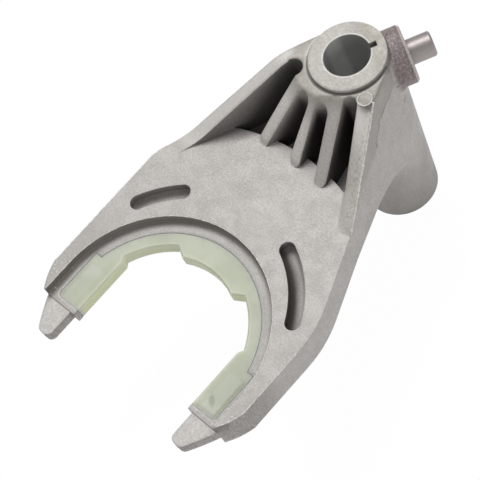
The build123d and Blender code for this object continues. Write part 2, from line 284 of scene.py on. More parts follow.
# %% Places on the walls
wall_foot, wall_angle = (19.5, -31.5), 109.8
foot_x = cast.math("SUBTRACT", x, wall_foot[0])
foot_y = cast.math("SUBTRACT", y, wall_foot[1])
beyond_right = cast.along(wall_angle - 90, foot_x, foot_y)
up_right = cast.along(wall_angle, foot_x, foot_y)
on_right = cast.ramp(beyond_right, -1.6, -0.8)
on_crest = cast.both(
    on_right,
    cast.ramp(z, 6.5, 8.8),
    cast.ramp(y, -10.2, -11.4),
    cast.ramp(face_z, 0.3, 0.55),
)

left_foot, left_angle = (-36.5, -50.5), 61.5
beyond_left = cast.along(
    left_angle + 90,
    cast.math("SUBTRACT", x, left_foot[0]),
    cast.math("SUBTRACT", y, left_foot[1]),
)
left_crest_highlight = cast.both(
    cast.ramp(beyond_left, -0.6, 0.2), cast.ramp(z, 6.3, 7.5), cast.ramp(face_z, 0.3, 0.6)
)

in_web = cast.both(
    cast.ramp(y, -45.0, -38.0), cast.ramp(z, 6.2, 7.0), cast.ramp(from_rail, 14.0, 15.5)
)
between_walls = cast.both(cast.ramp(beyond_left, -2.5, -4.5), cast.ramp(beyond_right, -1.5, -3.0))

parting_top, parting_rise, parting_start = 19.0, 0.9, 27.3
sloping = cast.math("ADD", cast.math("MULTIPLY", y, parting_rise), parting_start)
above_parting = cast.math("SUBTRACT", z, cast.math("MINIMUM", parting_top, sloping))
on_flank = cast.both(cast.ramp(face_x, 0.3, 0.6), cast.ramp(face_z, 0.3, 0.15), on_right)
on_band = cast.both(on_flank, cast.ramp(above_parting, -0.2, 0.3), cast.ramp(z, 10.0, 14.0))
cast.tell("the walls' places")

# %% [markdown]
# ## Cast aluminium: the jaw, the grooves and the tips
# The jaw is a half circle with straight arms. Above its middle the distance from it is a
# radius, and below it only x counts, so there y is held at zero. The two grooves follow a
# circle of their own, whose middle is a little higher.

# %% Places round the jaw
jaw_y, plate_face = -106.7, 6.4
groove_y, groove_radius = -97.7, 43.0
from_jaw = cast.far(x, cast.math("MAXIMUM", cast.math("SUBTRACT", y, jaw_y), 0.0))
from_groove_middle = cast.far(x, cast.math("SUBTRACT", y, groove_y))
across_groove = cast.math("SUBTRACT", from_groove_middle, groove_radius)
groove_walls = cast.both(
    cast.ramp(cast.math("ABSOLUTE", across_groove), 3.3, 3.0), cast.ramp(y, -82.0, -80.0)
)
on_tip = cast.ramp(y, -118.6, -119.4)
sideways = cast.math("ABSOLUTE", x)
cast.tell("the jaw's places")

# %% [markdown]
# ## Cast aluminium: grain
# A die casting that has been shot-blasted is a matte, warm, light grey with a grain like
# fine sand. One noise would look like film grain, so four are laid over each other, from
# grains under a millimetre to the broad stripes in which the metal flowed and cooled.

# %% Grain
grain = cast.noise(0.65 * millimetre, detail=4, roughness=0.8)
speckle = cast.noise(1.1 * millimetre, detail=3, roughness=0.6)
patches = cast.noise(6 * millimetre, detail=4)
flow = cast.noise(30 * millimetre, detail=2)
metal_dark, metal_light = colour(182, 177, 173), colour(214, 210, 206)
body = cast.blend(cast.ramp(grain, 0.32, 0.68), metal_dark, metal_light)
body = cast.blend(cast.ramp(speckle, 0.55, 0.75, 0, 0.35), body, colour(170, 164, 158))
body = cast.blend(cast.ramp(patches, 0.4, 0.7, 0, 0.2), body, colour(188, 182, 176))
body = cast.blend(cast.ramp(flow, 0.4, 0.65, 0, 0.15), body, metal_light)
cast.tell("grain")

# %% [markdown]
# ## Cast aluminium: arms and tips
# The left arm is a little duller, the two tips are coarser and paler, and the arms' steep
# sides are painted darker than their faces, as painted shade. Each could have a material
# of its own, but a tone laid over the same grain keeps the metal one.

# %% Arms and tips
left_arm = cast.both(
    cast.ramp(x, -30.0, -40.0),
    cast.ramp(y, -80.0, -95.0),
    cast.ramp(patches, 0.35, 0.55, 0.5, 0.2),
)
body = cast.blend(left_arm, body, colour(166, 161, 156))

tip_pale, tip_dull = colour(230, 226, 222), colour(200, 195, 190)
tip_tone = cast.blend(cast.ramp(grain, 0.38, 0.62), tip_pale, tip_dull)
body = cast.blend(cast.both(on_tip, cast.ramp(face_z, 0.2, 0.6, 0.0, 0.8)), body, tip_tone)

arm_side_shade = cast.both(steep, cast.ramp(y, -92.0, -104.0), cast.ramp(grain, 0.4, 0.6, 0.75, 0.25))
# Painted shade: the arms' steep sides are darkened.
body = cast.blend(arm_side_shade, body, colour(142, 137, 132))
cast.tell("arms and tips")

# %% [markdown]
# ## Cast aluminium: left crest and collar
# The left wall's crest is painted brightest of all, as a painted highlight, and the collar
# round the ring is painted a little darker and yellower, as painted shade. A lamp aimed at
# the crest would spill on the plate, so both are tones over the grain, mixed by their masks.

# %% Left crest and collar
crest_grain = cast.ramp(grain, 0.35, 0.65, 1.0, 0.5)
# Painted highlight on the left wall's crest.
body = cast.blend(cast.both(left_crest_highlight, crest_grain), body, colour(242, 238, 233))

# Painted shade on the collar round the ring, a little yellow.
collar_shade = cast.both(in_web, cast.ramp(z, 24.0, 27.5), cast.ramp(from_rail, 22.0, 18.0))
collar_dull, collar_pale = colour(172, 166, 156), colour(184, 180, 172)
collar_shade_tone = cast.blend(cast.ramp(speckle, 0.4, 0.6), collar_dull, collar_pale)
body = cast.blend(cast.both(collar_shade, 0.85), body, collar_shade_tone)
cast.tell("left crest and collar")

# %% [markdown]
# ## Cast aluminium: rounded, worn and highlighted edges
# No edge of a casting is sharp, and handling rubs them brighter; the open edges also carry
# a painted highlight, strongest towards the jaw, and the tips' ends one of their own. Real
# fillets on every edge would cost thousands of faces. The Bevel node rounds only the
# shading, with a radius that is larger in the web, in the recess and in the grooves, and
# where it bends the normal there is an edge. Ambient occlusion keeps inner corners from
# looking worn or lit.

# %% Rounded, worn and highlighted edges
by_recess = cast.both(
    cast.ramp(from_jaw, 45.5, 44.0), cast.ramp(z, 5.0, 3.6), cast.ramp(y, -119.4, -118.8)
)
by_groove = cast.both(groove_walls, cast.ramp(z, 5.6, 4.8))
rounder = cast.math("MAXIMUM", cast.math("MAXIMUM", in_web, by_recess), by_groove)
softness = cast.ramp(rounder, 0, 1, 0.7 * millimetre, 2.0 * millimetre)
at_end = cast.ramp(y, -121.0, -122.0, 0, 0.5 * millimetre)
rounded, on_edge = cast.edges(cast.math("ADD", softness, at_end))

shade = cast.add("ShaderNodeAmbientOcclusion", {"Distance": 22 * millimetre}, samples=8)
closed_in = shade.outputs["AO"]
open_edge = cast.both(
    on_edge, cast.ramp(closed_in, 0.45, 0.7), cast.ramp(in_web, 1, 0, 0.2, 1)
)
upper_left = cast.both(cast.ramp(x, -22.0, -30.0), cast.ramp(y, -50.0, -56.0))
by_jaw = cast.math("MAXIMUM", cast.ramp(y, -66.0, -72.0), upper_left)
# Wear and painted highlight: open edges are lightened, more so towards the jaw.
rubbed_and_highlight = cast.both(
    open_edge, cast.ramp(by_jaw, 0, 1, 0.5, 0.95), cast.ramp(speckle, 0.3, 0.5, 1, 0.6)
)
rubbed_highlight_tone = cast.blend(by_jaw, colour(232, 229, 224), colour(250, 248, 245))
body = cast.blend(rubbed_and_highlight, body, rubbed_highlight_tone)

# Painted highlight on the edges of the tips' ends.
tip_highlight = cast.both(
    on_edge, cast.ramp(y, -126.5, -128.5), cast.ramp(face_z, 0.1, 0.5, 0.2, 1)
)
body = cast.blend(tip_highlight, body, colour(255, 254, 252))
cast.tell("edges")

# %% [markdown]
# ## Cast aluminium: the turned ring
# A lathe has faced the ring, so it is cleaner and a little yellow towards the boss, and
# both of its edges carry a painted highlight. These are thin, so they are found by radius
# and not by the Bevel node, which would blur them.

# %% Turned ring
turned = cast.noise(0.9 * millimetre, detail=4, roughness=0.7)
ring_tone = cast.blend(cast.ramp(turned, 0.35, 0.7), colour(188, 184, 178), colour(212, 208, 201))
stain = cast.both(cast.ramp(out_along_pin, 3.0, 12.0, 0, 0.5), cast.ramp(patches, 0.35, 0.6))
ring_tone = cast.blend(stain, ring_tone, colour(168, 158, 138))

inner_rim = cast.ramp(cast.off(from_rail, 8.25), 0.45, 0.15)
outer_rim = cast.ramp(from_rail, 12.7, 13.1)
either_rim = cast.math("MAXIMUM", inner_rim, outer_rim)
# Painted highlight on the ring's inner and outer edges.
rim_highlight = cast.both(either_rim, cast.ramp(turned, 0.35, 0.55, 0.3, 0.9))
ring_tone = cast.blend(rim_highlight, ring_tone, colour(240, 238, 232))
body = cast.blend(cast.both(on_ring, cast.ramp(on_edge, 0.7, 0.3, 0.3, 1)), body, ring_tone)
cast.tell("the ring")

# %% [markdown]
# ## Cast aluminium: the tube
# The hub is a long tube, and it is painted darker towards its free end, as painted shade.
# A gradient along z mixes in a darker grey, patchy with the broad flow noise so that it
# doesn't look sprayed on.

# %% Tube
# Painted shade: the tube darkens towards its free end.
tube_end_shade = cast.both(cast.ramp(z, -14.0, -50.0, 0, 0.6), cast.ramp(from_rail, 24.0, 20.0))
tube_dark, tube_light = colour(150, 146, 142), colour(172, 168, 164)
tube_shade_tone = cast.blend(cast.ramp(flow, 0.4, 0.6), tube_dark, tube_light)
body = cast.blend(tube_end_shade, body, tube_shade_tone)
cast.tell("the tube")

# %% [markdown]
# ## Cast aluminium: recess and grooves
# The recess's wall, the foot of its ledge and the grooves' inner sides carry painted shade.
# Occlusion alone is too faint on such shallow steps, so the shade is laid by place, and it
# stays where it is from every side.

# %% Recess and grooves
recess_wall_shade = cast.both(
    cast.ramp(from_jaw, 44.5, 43.5),
    cast.ramp(z, 6.5, 6.1),
    cast.ramp(z, 2.6, 5.2, 0.45, 1),
    cast.ramp(z, 0.5, 2.6),
    cast.ramp(face_z, 0.9, 0.75),
)
# Painted shade on the recess's wall.
body = cast.blend(cast.both(recess_wall_shade, 0.62), body, colour(104, 97, 91))

in_groove = cast.both(groove_walls, cast.ramp(z, plate_face, 6.0))
right_shade = cast.both(
    in_groove, cast.ramp(x, 0.0, 10.0), cast.ramp(across_groove, -2.2, 1.2, 0.9, 0.05)
)
left_shade = cast.both(
    in_groove, cast.ramp(x, 0.0, -10.0), cast.ramp(across_groove, 0.0, 2.6, 0.0, 0.25)
)
# Painted shade on the grooves' inner sides.
body = cast.blend(cast.math("MAXIMUM", right_shade, left_shade), body, colour(66, 61, 57))

ledge_foot_shade = cast.both(
    cast.ramp(from_jaw, 38.4, 40.6),
    cast.ramp(from_jaw, 42.5, 41.6),
    cast.ramp(z, 4.6, 3.5),
    cast.ramp(sideways, 4.0, 20.0, 0.45, 1),
    cast.ramp(z, 2.0, 2.4),
)
# Painted shade at the foot of the recess's ledge.
body = cast.blend(cast.both(ledge_foot_shade, 0.6), body, colour(112, 105, 99))
cast.tell("recess and grooves")

# %% [markdown]
# ## Cast aluminium: specks and streaks
# The arms' ends carry coarse bright specks, and the hub's flank and tube carry faint
# streaks along the way the casting left its die. A noise becomes streaks when the
# coordinate along them is shrunk, here z to an eighth. A thin line of painted shade stands
# at the foot of the turned ring.

# %% Specks and streaks
torn_end = cast.both(
    cast.ramp(y, -102.0, -114.0), cast.ramp(speckle, 0.56, 0.66), cast.ramp(face_z, 0.3, 0.6)
)
body = cast.blend(cast.both(torn_end, 0.55), body, colour(250, 247, 243))

shrink = (0.9, 0.9, 0.12)
stretched = cast.add("ShaderNodeVectorMath", {0: place_mm, 1: shrink}, operation="MULTIPLY")
flank_streaks = cast.add(
    "ShaderNodeTexNoise",
    {"Vector": stretched.outputs[0], "Scale": 1.0, "Detail": 5.0, "Roughness": 0.75},
).outputs["Fac"]
steep_sides = cast.both(
    steep, cast.ramp(from_rail, 7.0, 12.0), cast.ramp(flank_streaks, 0.42, 0.66, 0, 0.15)
)
body = cast.blend(steep_sides, body, colour(146, 141, 135))

ring_foot_shade = cast.both(
    cast.ramp(cast.off(from_rail, 13.8), 0.8, 0.25),
    cast.ramp(z, 29.2, 28.6),
    cast.ramp(z, 25.5, 27.0),
)
# Painted shade in the crease at the foot of the turned ring.
body = cast.blend(cast.both(ring_foot_shade, 0.85), body, colour(88, 82, 76))
cast.tell("specks and streaks")

# %% [markdown]
# ## Cast aluminium: the ribs' crests
# The ribs' crests carry a painted highlight, brighter than their flanks. The mask takes
# what faces up between the two walls, and fades out towards the right wall, beside which
# the rib is left darker.

# %% Rib crests
rib_crest_highlight = cast.both(
    in_web,
    between_walls,
    cast.ramp(from_rail, 20.0, 25.0),
    cast.ramp(z, 7.0, 9.0),
    cast.ramp(x, 0.5, 3.5, 1, 0.0),
    level,
)
rib_dull, rib_bright = colour(224, 219, 214), colour(252, 248, 243)
rib_highlight_tone = cast.blend(cast.ramp(grain, 0.36, 0.64), rib_dull, rib_bright)
# Painted highlight on the ribs' crests.
body = cast.blend(cast.both(rib_crest_highlight, 0.8), body, rib_highlight_tone)
cast.tell("rib crests")

# %% [markdown]
# ## Cast aluminium: the trimmed crest
# Flash was trimmed off the right wall's crest, which left it blotched, with dark specks
# in a line. The flank just under the crest is painted a duller grey. The noise is read in
# the wall's own directions, across and along, so that its blotches run down the crest as
# the tool went.

# %% Trimmed crest
lengthwise = cast.math("MULTIPLY", up_right, 0.4)
streak_place = cast.add("ShaderNodeCombineXYZ", {0: beyond_right, 1: lengthwise, 2: 0.0})
streaks = cast.add(
    "ShaderNodeTexNoise",
    {"Vector": streak_place.outputs[0], "Scale": 2.2, "Detail": 6.0, "Roughness": 0.8},
).outputs["Fac"]
crest_pale, crest_dull = colour(240, 235, 229), colour(196, 188, 180)
crest_tone = cast.blend(cast.ramp(streaks, 0.36, 0.64), crest_pale, crest_dull)
crest_tone = cast.blend(cast.ramp(z, 15.0, 24.0, 0, 0.85), crest_tone, colour(255, 252, 247))

trim_line = cast.ramp(cast.off(beyond_right, 5.2), 1.3, 0.3)
trim_specks = cast.both(trim_line, cast.ramp(streaks, 0.50, 0.64, 0, 0.6))
crest_tone = cast.blend(trim_specks, crest_tone, colour(112, 102, 93))
body = cast.blend(cast.both(on_crest, 0.9), body, crest_tone)
body = cast.blend(cast.both(on_band, 0.5), body, colour(166, 159, 153))
cast.tell("the trimmed crest")

# %% [markdown]
# ## Cast aluminium: the stained boss
# Heat and oil have stained the boss purple-brown in fine mottles. One purple would look
# painted, so a fine noise and a broad one each mix in a tone of their own. Its turned edge
# carries a painted highlight, and painted shade marks the crevice where it meets the hub.

# %% Stained boss
blotch = cast.noise(1.3 * millimetre, detail=4, roughness=0.7)
mottle = cast.noise(0.8 * millimetre, detail=5, roughness=0.8)
stain_tone = cast.blend(cast.ramp(mottle, 0.38, 0.62), colour(170, 157, 156), colour(122, 110, 110))
stain_tone = cast.blend(cast.ramp(patches, 0.5, 0.7, 0, 0.4), stain_tone, colour(112, 98, 98))
stain_tone = cast.blend(cast.ramp(mottle, 0.40, 0.34, 0, 0.8), stain_tone, colour(222, 214, 212))
body = cast.blend(on_boss, body, stain_tone)

# Painted highlight along the boss's turned edge.
boss_rim_highlight = cast.both(
    on_boss,
    cast.ramp(from_pin, 9.0, 9.5),
    cast.ramp(out_along_pin, 18.0, 18.5),
    cast.ramp(blotch, 0.3, 0.5, 0.4, 0.9),
)
body = cast.blend(boss_rim_highlight, body, colour(214, 206, 202))

# Painted shade in the crevice where the boss meets the hub.
crevice_shade = cast.both(
    cast.ramp(cast.off(from_pin, 10.8), 0.7, 0.2),
    cast.ramp(z, 13.0, 10.0),
    cast.ramp(out_along_pin, 17.5, 16.5),
    cast.ramp(x, 8.0, 10.0),
    cast.ramp(blotch, 0.4, 0.5),
)
body = cast.blend(cast.both(crevice_shade, 0.8), body, colour(84, 74, 70))
cast.tell("the boss")

# %% [markdown]
# ## Cast aluminium: painted shade in the pockets
# The pockets between the ribs carry painted shade, a dark tone laid by ambient occlusion.
# Occlusion is a good measure of how closed in a point is, and it works at any depth. What
# faces up takes less of the shade, and so does the open pocket beside the left wall.

# %% Painted shade in the pockets
in_pocket = cast.both(cast.ramp(from_rail, 14.5, 16.0), cast.ramp(y, -52.0, -46.0))
level_share = cast.ramp(in_pocket, 0, 1, 0.75, 0.2)
pocket_shade = cast.both(
    cast.ramp(closed_in, 0.74, 0.24),
    cast.ramp(in_pocket, 0, 1, 0.5, 0.94),
    cast.blend(level, (1, 1, 1, 1), level_share),
)
by_left_wall = cast.both(
    in_pocket, cast.ramp(beyond_left, -7.0, -4.0), cast.ramp(closed_in, 0.85, 0.7)
)
pocket_shade = cast.blend(by_left_wall, pocket_shade, cast.ramp(closed_in, 0.7, 0.2, 0.55, 0.8))
# Painted shade: the pockets are darkened by occlusion.
body = cast.blend(pocket_shade, body, colour(46, 41, 38))
cast.tell("pocket_shade")

# %% [markdown]
# ## Cast aluminium: the bore, and the whole finish
# The bore is bare metal with a painted highlight, a soft light band down one side where it
# faces the lamp, and it is painted darker towards its top. Its tone follows the direction
# round the bore. Last, the grain also becomes bump, so that it catches the light, and every
# input goes to the Principled shader.

# %% Bore and shader
band_angle = 176
on_radius = cast.math("MAXIMUM", from_rail, 1.0)
round_bore = cast.math("DIVIDE", cast.along(band_angle, x, y), on_radius)
bore_dull, bore_highlight = colour(206, 206, 205), colour(252, 252, 250)
# Painted highlight: a light band down the side of the bore that faces the lamp.
bore_tone = cast.blend(cast.ramp(round_bore, 0.86, 0.985), bore_dull, bore_highlight)
bore_tone = cast.blend(cast.ramp(z, 14.0, 28.0, 0, 0.35), bore_tone, colour(118, 118, 116))
body = cast.blend(in_bore, body, bore_tone)

cast.set(
    Base_Color=body,
    Metallic=cast.ramp(in_bore, 0, 1, 0.15, 0.4),
    Roughness=cast.ramp(patches, 0.3, 0.7, 0.5, 0.62),
    Normal=cast.relief(grain, 0.5, 0.12 * millimetre, rounded),
)
cast.tell("the bore")

# %% [markdown]
# ## Nylon: tone
# Natural nylon is a pale grey-green. A flat colour would look painted, so a faint
# cloudiness is mixed in. The flat pads on the arms show a paler inset, and a darker band
# where the casting's tongue ends inside them.

# %% Nylon tone
nylon = Measured("nylon")
_, x, y, z = nylon.millimetres()
_, _, face_z = nylon.facing()
sideways = nylon.math("ABSOLUTE", x)
from_jaw = nylon.far(x, nylon.math("SUBTRACT", y, jaw_y))
cloud = nylon.noise(14 * millimetre, detail=2)
tone = nylon.blend(nylon.ramp(cloud, 0.4, 0.6), colour(203, 208, 186), colour(213, 218, 197))

pad_middle = 33.6
inset = nylon.both(
    nylon.ramp(nylon.off(sideways, pad_middle), 3.0, 2.3),
    nylon.ramp(y, -101.0, -102.5),
    nylon.ramp(cloud, 0.3, 0.6, 0.2, 0.5),
)
tone = nylon.blend(inset, tone, colour(224, 227, 214))

side_band = nylon.both(
    nylon.ramp(sideways, 36.2, 37.0),
    nylon.ramp(y, -100.0, -103.0),
    nylon.ramp(x, -10.0, 10.0, 0.3, 1),
)
end_band = nylon.both(nylon.ramp(y, -115.0, -116.2), nylon.ramp(x, 27.0, 30.0), 0.7)
band = nylon.math("MAXIMUM", side_band, end_band)
tone = nylon.blend(nylon.both(band, 0.5), tone, colour(158, 163, 136))
nylon.tell("tone")

# %% [markdown]
# ## Nylon: the smudge
# One pad has a small oily smudge under its skin. Its shape is an ellipse: the distance
# along it and across it are each divided by a half-length, and where their squares add up
# to less than one the point is inside. A little noise on that sum frays its outline.

# %% Smudge
smudge_x, smudge_y = 32.6, -112.2
smudge_angle, half_long, half_wide = -47, 2.3, 0.9
off_x = nylon.math("SUBTRACT", x, smudge_x)
off_y = nylon.math("SUBTRACT", y, smudge_y)
lengthwise = nylon.math("DIVIDE", nylon.along(smudge_angle, off_x, off_y), half_long)
crosswise = nylon.math("DIVIDE", nylon.along(smudge_angle + 90, off_x, off_y), half_wide)
inside = nylon.math(
    "ADD",
    nylon.math("MULTIPLY", lengthwise, lengthwise),
    nylon.math("MULTIPLY", crosswise, crosswise),
)
frayed = nylon.ramp(nylon.noise(1.2 * millimetre, detail=3), 0.3, 0.7, -0.45, 0.45)
inside = nylon.math("ADD", inside, frayed)
smudge = nylon.both(nylon.ramp(inside, 2.0, 0.0), nylon.ramp(z, 0.0, 2.0))
tone = nylon.blend(nylon.both(smudge, 0.42), tone, colour(132, 138, 112))
nylon.tell("the smudge")

# %% [markdown]
# ## Nylon: edges, seam and shader
# The working edge is thin and lets more light through than the nylon over the metal, which
# is painted in: its steep faces are painted greener and paler, and its edges carry a
# painted highlight. A thin dark seam shows where nylon and metal meet. Subsurface scattering
# lets light into the piece, which a plain gloss can't imitate.

# %% Nylon edges, seam and shader
painted_light_sides = nylon.ramp(nylon.math("ABSOLUTE", face_z), 0.6, 0.3)
# Painted light: the steep faces of the nylon are made paler and greener.
tone = nylon.blend(painted_light_sides, tone, colour(241, 250, 214))
skin = nylon.noise(0.9 * millimetre, detail=2)
rounded, _ = nylon.edges(0.4 * millimetre)
_, on_edge = nylon.edges(1.3 * millimetre)
# Painted highlight on the nylon's edges.
tone = nylon.blend(nylon.both(on_edge, 0.9), tone, colour(250, 253, 226))

crown_seam = nylon.both(nylon.ramp(from_jaw, 36.2, 36.5), nylon.ramp(y, -98.4, -98.0))
arm_seam = nylon.ramp(sideways, 37.8, 38.1)
seam = nylon.math("MAXIMUM", crown_seam, arm_seam)
tone = nylon.blend(nylon.both(seam, 0.7), tone, colour(96, 96, 82))

nylon.set(
    Base_Color=tone,
    Roughness=nylon.ramp(skin, 0.3, 0.7, 0.38, 0.5),
    Subsurface_Weight=0.9,
    Subsurface_Radius=(1.0, 1.0, 0.8),
    Subsurface_Scale=0.003,
    Normal=nylon.relief(skin, 0.1, 0.05 * millimetre, rounded),
)
nylon.tell("edges and seam")

# %% [markdown]
# ## Ground steel
# The pin is ground to size, so it is even and reflects the room softly. An anisotropic
# gloss would suit a polished pin; this one is dull, so a very fine noise in its colour,
# roughness and bump is enough.

# %% Ground steel
steel = Measured("ground_steel")
fine = steel.noise(0.25 * millimetre, detail=2)
rounded, _ = steel.edges(0.3 * millimetre)
steel_dark, steel_light = colour(160, 153, 152), colour(188, 181, 179)
steel.set(
    Base_Color=steel.blend(steel.ramp(fine, 0.3, 0.7), steel_dark, steel_light),
    Metallic=0.7,
    Roughness=steel.ramp(fine, 0.3, 0.7, 0.42, 0.55),
    Normal=steel.relief(fine, 0.15, 0.03 * millimetre, rounded),
)
steel.tell("its shader")

# %% [markdown]
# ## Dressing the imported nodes
# The three solids already have the right shape, so they stay as they are and only their
# material slots are filled.

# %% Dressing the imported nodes
for name, finish in (("fork_casting", cast), ("jaw_liner", nylon), ("follower_pin", steel)):
    for slot in nodes[name].material_slots:
        slot.material = finish.material
    print(name, "wears", finish.material.name)

# %% [markdown]
# ## Trimmed edges: their finish
# Where the die halves met, and where the flash was broken off, the casting carries thin
# raised beads. Bare metal shows there, so they are brighter and glossier than the blasted
# faces, in small flecks.

# %% Trimmed edge finish
trimmed = Measured("trimmed_edge")
flecks = trimmed.noise(0.8 * millimetre, detail=3, roughness=0.7)
fleck_dull, fleck_bright = colour(206, 201, 196), colour(246, 243, 239)
trimmed_tone = trimmed.blend(trimmed.ramp(flecks, 0.35, 0.65), fleck_dull, fleck_bright)
rounded, on_edge = trimmed.edges(0.2 * millimetre)
trimmed_tone = trimmed.blend(trimmed.both(on_edge, 0.4), trimmed_tone, colour(244, 242, 238))
trimmed.set(
    Base_Color=trimmed_tone,
    Metallic=0.3,
    Roughness=trimmed.ramp(flecks, 0.3, 0.7, 0.4, 0.55),
    Normal=trimmed.relief(flecks, 0.5, 0.1 * millimetre, rounded),
)
trimmed.tell("its shader")

# %% [markdown]
# ## Trimmed edges: the bead
# Bump could fake a bead on a face, but not on an edge, where its outline shows. So each
# bead is a thin tube swept along a path, and its radius wanders a little, because an even
# one looks drawn and not broken.


# %% Bead builder
def bead(name, path, thickness, finish=trimmed, sides=8, closed=False):
    """A tube along `path` (millimetres), whose radius wanders about half `thickness`.

    With t the path's direction, u square to t and level, and v square to both, a point of
    the surface is the path's point plus the radius times (cos a times u plus sin a times
    v), for an angle a once round the tube. The radius is half the thickness times one plus
    two slow sines of the point's number.
    """
    count = len(path)
    step = np.roll(path, -1, 0) - np.roll(path, 1, 0) if closed else np.gradient(path, axis=0)
    ahead = step / np.linalg.norm(step, axis=1, keepdims=True)
    u = np.cross(ahead, (0.0, 0.0, 1.0))
    u /= np.linalg.norm(u, axis=1, keepdims=True)
    v = np.cross(ahead, u)
    number = np.arange(count)
    wander = 1 + 0.22 * np.sin(number * 1.7) + 0.16 * np.sin(number * 0.61 + 1.0)
    radius = (thickness / 2 * wander)[:, None, None]
    turn = np.linspace(0, 2 * np.pi, sides, endpoint=False)[None, :, None]
    ring = np.cos(turn) * u[:, None] + np.sin(turn) * v[:, None]
    points = (path[:, None] + radius * ring).reshape(-1, 3)

    rows = np.arange(count if closed else count - 1)
    first, second = np.meshgrid(rows * sides, np.arange(sides), indexing="ij")
    after = (first + sides) % (count * sides)
    other = (second + 1) % sides
    quads = np.stack([first + second, first + other, after + other, after + second], -1)
    faces = quads.reshape(-1, 4).tolist()
    if not closed:
        faces.append(list(range(sides))[::-1])
        faces.append([(count - 1) * sides + k for k in range(sides)])

    mesh = bpy.data.meshes.new(name)
    mesh.from_pydata((points * millimetre).tolist(), [], faces)
    mesh.polygons.foreach_set("use_smooth", [True] * len(mesh.polygons))
    mesh.materials.append(finish.material)
    piece = bpy.data.objects.new(name, mesh)
    scene.collection.objects.link(piece)
    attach(piece, "root")
    length = np.linalg.norm(np.diff(path, axis=0), axis=1).sum()
    print(name, len(faces), "faces over", round(float(length), 1), "mm")


# %% [markdown]
# ## Bead on the right wall's crest
# The flash was broken off along the outer edge of this crest, and the edge is not a plain
# line: the crest is a ruled surface that twists, and it meets a face that leans by the
# die's draft. Sampling the mesh would copy its facets, so the edge is worked out from the
# same sizes that the wall was built with.

# %% Crest bead
wall_foot = np.array(wall_foot)
wall_turn = math.radians(wall_angle)
up_wall = np.array([math.cos(wall_turn), math.sin(wall_turn)])
across_wall = np.array([math.sin(wall_turn), -math.cos(wall_turn)])
outward = np.array([0.9329, 0.3602])
outer_reach, draft = 15.1, math.tan(math.radians(2.5))
slope_length, full_rise, outer_rise, wall_width = 22.9, 22.1, 9.8, 9.0
inner_end, outer_end = np.array([27.4, -44.4]), np.array([34.5, -42.9])
sunk, lowered = 0.12, 0.10


def crest_edge(inner, outer, inner_rise, outer_rise_here):
    """Where the crest, ruled from `inner` to `outer`, meets the drafted outer face.

    The outer face is where outward . (x, y) equals the reach minus the draft times the
    height. Both sides change evenly with the share of the way across, so the share is
    what is missing at the inner end, divided by what one whole way across adds.
    """
    missing = outer_reach - inner @ outward - draft * inner_rise
    added = (outer - inner) @ outward + draft * (outer_rise_here - inner_rise)
    share = missing / added
    flat = inner + share[:, None] * (outer - inner)
    rise = inner_rise + share * (outer_rise_here - inner_rise)
    return np.column_stack([flat, plate_face + rise])


up = np.linspace(1.0, 0.0, 40)
inner = wall_foot + up[:, None] * slope_length * up_wall
outer_height = outer_rise + up * (full_rise - outer_rise)
upper = crest_edge(inner, inner + wall_width * across_wall, up * full_rise, outer_height)

down = np.linspace(0.0, 0.97, 28)[1:]
inner = wall_foot + down[:, None] * (inner_end - wall_foot)
outer_start = wall_foot + wall_width * across_wall
outer = outer_start + down[:, None] * (outer_end - outer_start)
lower = crest_edge(inner, outer, 0 * down, outer_rise * (1 - down))

crest_line = np.vstack([upper, lower]) - np.append(sunk * outward, lowered)
bead("crest_bead", crest_line, thickness=0.75)

# %% [markdown]
# ## Bead along the parting line
# The die halves parted along a line on the hub's flank that is level near the hub and
# falls away below it. It is only a faint ridge of the blasted metal, so it wears the
# casting's own finish, and a slow sine keeps it from being ruler-straight.

# %% Parting bead
level_height, wave_height, wave_rate = 19.2, 0.25, 1.3
along_y = np.linspace(4.5, -15.5, 44)
wave = wave_height * np.sin(along_y * wave_rate)
height = np.minimum(level_height, parting_start + parting_rise * along_y) + wave
reach = outer_reach - draft * (height - plate_face)
parting_line = np.column_stack([(reach - outward[1] * along_y) / outward[0], along_y, height])
parting_line -= np.append(sunk * outward, 0.0)
bead("parting_bead", parting_line, thickness=0.42, finish=cast, sides=6)

# %% [markdown]
# ## Bead on the plate's left edge
# The plate's edge is rough and bright where it was trimmed. Its outline is made of
# straight runs and arcs, so two small functions give points on them, and a third lifts
# them to a height. The left side goes on along the wall's line, which is a tangent to the
# hub, and then bends to run straight down the arm.


# %% Left edge bead
def run(start, end, count):
    """Evenly spaced points: the start plus a share, from 0 to 1, of the way to the end."""
    share = np.linspace(0, 1, count)[:, None]
    return np.array(start) + share * (np.array(end) - np.array(start))


def arc(centre, radius, first, last, count):
    """Points round `centre`: it plus the radius times (cos, sin) of an angle in radians."""
    turn = np.linspace(first, last, count)[:, None]
    return np.array(centre) + radius * np.hstack([np.cos(turn), np.sin(turn)])


def at_height(flat, height):
    """Points of the plane with one more coordinate, the same height for all."""
    return np.column_stack([flat, np.full(len(flat), height)])


half_width, straight_end = 46.1, -109.4
web_corner, hub_radius = np.array([-40.5, -47.0]), 14.4
reach = np.linalg.norm(web_corner)
touch = math.atan2(web_corner[1], web_corner[0]) - math.acos(hub_radius / reach)
falling = web_corner - hub_radius * np.array([math.cos(touch), math.sin(touch)])
falling /= np.linalg.norm(falling)
shoulder = web_corner + falling * (half_width + web_corner[0]) / -falling[0]
bend, bend_radius = math.acos(-falling[1]), 16.0
before = bend_radius * math.tan(bend / 2)
bend_centre = (bend_radius - half_width, shoulder[1] - before)
shoulder_arc = arc(bend_centre, bend_radius, math.pi - bend, math.pi, 12)
left_side = np.vstack([
    run(web_corner, shoulder_arc[0], 24)[:-1],
    shoulder_arc,
    run(shoulder_arc[-1], (-half_width, straight_end), 60)[1:],
])
edge_height = plate_face - sunk
bead("left_edge_bead", at_height(left_side + (sunk, 0.0), edge_height), thickness=0.42)

